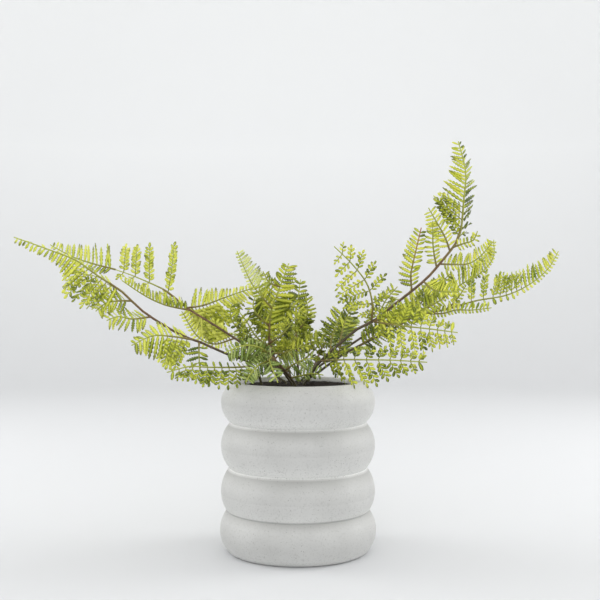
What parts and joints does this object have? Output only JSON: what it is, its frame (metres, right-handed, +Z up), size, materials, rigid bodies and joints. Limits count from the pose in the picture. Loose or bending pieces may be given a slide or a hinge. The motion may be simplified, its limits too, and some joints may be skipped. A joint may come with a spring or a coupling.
{
  "type": "potted fern",
  "caption": "Lacy cut fern with arching fronds on thin stems, standing in soil in a round pot of stacked rounded rings with a flat foot.",
  "frame": {"origin": "centre of the pot's flat foot", "axes": "+Z up, +X to the viewer's right along the widest spread of the fronds, -Y towards the viewer"},
  "size_m": [0.4545, 0.2353, 0.327],
  "materials": {
    "stoneware": "matt, off-white with fine grey speckles",
    "soil": "dark, crumbly",
    "leaf": "yellow-green leaf with olive and dark green patches"
  },
  "bodies": {
    "root": {"pot": "stoneware", "soil": "soil", "frond_left_low": "leaf", "frond_left_high": "leaf", "frond_right_main": "leaf", "frond_right_mid": "leaf", "frond_right_far": "leaf", "frond_centre": "leaf", "frond_centre_right": "leaf", "frond_front_low": "leaf", "frond_back_left": "leaf", "frond_back_right": "leaf", "frond_back_mid": "leaf"}
  },
  "joints": []
}
